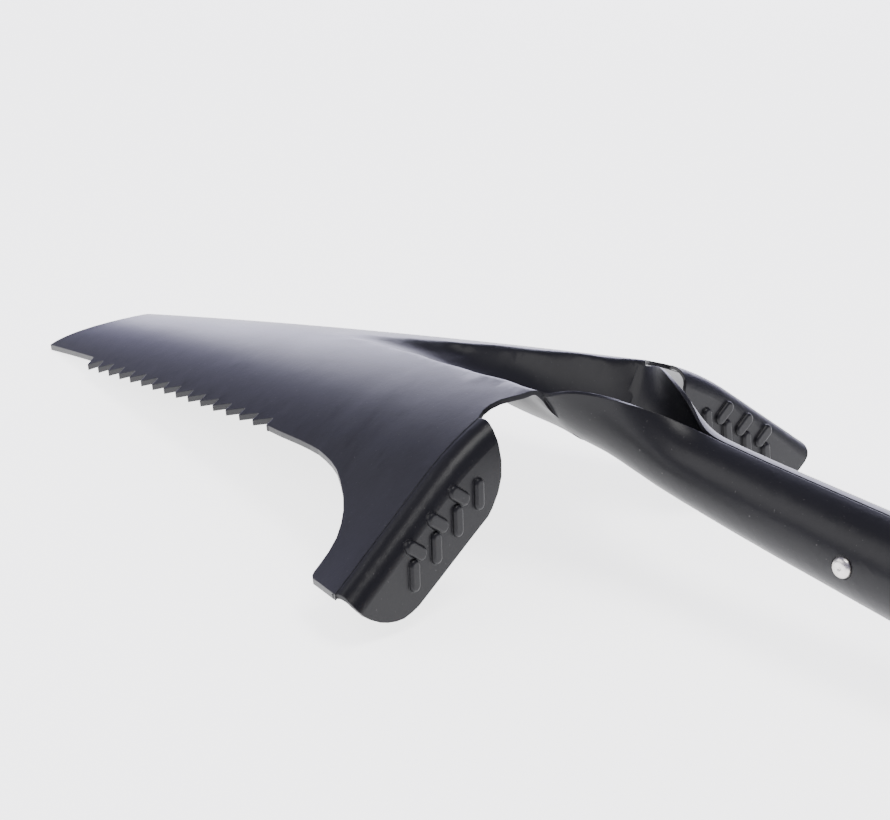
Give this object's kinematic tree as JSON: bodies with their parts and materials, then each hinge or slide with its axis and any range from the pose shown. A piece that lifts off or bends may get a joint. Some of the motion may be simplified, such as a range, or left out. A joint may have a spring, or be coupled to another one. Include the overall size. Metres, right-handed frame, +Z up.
{
  "type": "camp shovel",
  "caption": "Short camp shovel: dished steel blade with saw teeth on one side, folded foot treads and a rolled socket, riveted to a wooden shaft with a D-grip.",
  "frame": {"origin": "middle of the bounding box along and across, on the floor the shovel lies on", "axes": "+X from the blade towards the grip along the floor, +Y to the side without teeth, +Z up; the shovel lies back up, on the two corners of its cutting edge and the underside of the hand bar"},
  "size_m": [0.725, 0.2372, 0.069],
  "materials": {
    "black_powder_coat": "fine-grained satin powder coat",
    "bright_steel": "turned, slightly worn",
    "ash_wood": "oiled, straight grain"
  },
  "bodies": {
    "root": {"blade_head": "black_powder_coat", "shaft": "ash_wood", "socket_rivets": "bright_steel", "grip_arm_left": "black_powder_coat", "grip_arm_right": "black_powder_coat", "grip_rivets": "bright_steel", "hand_bar": "ash_wood", "hand_bar_pin": "bright_steel", "pin_washers": "bright_steel"}
  },
  "joints": []
}
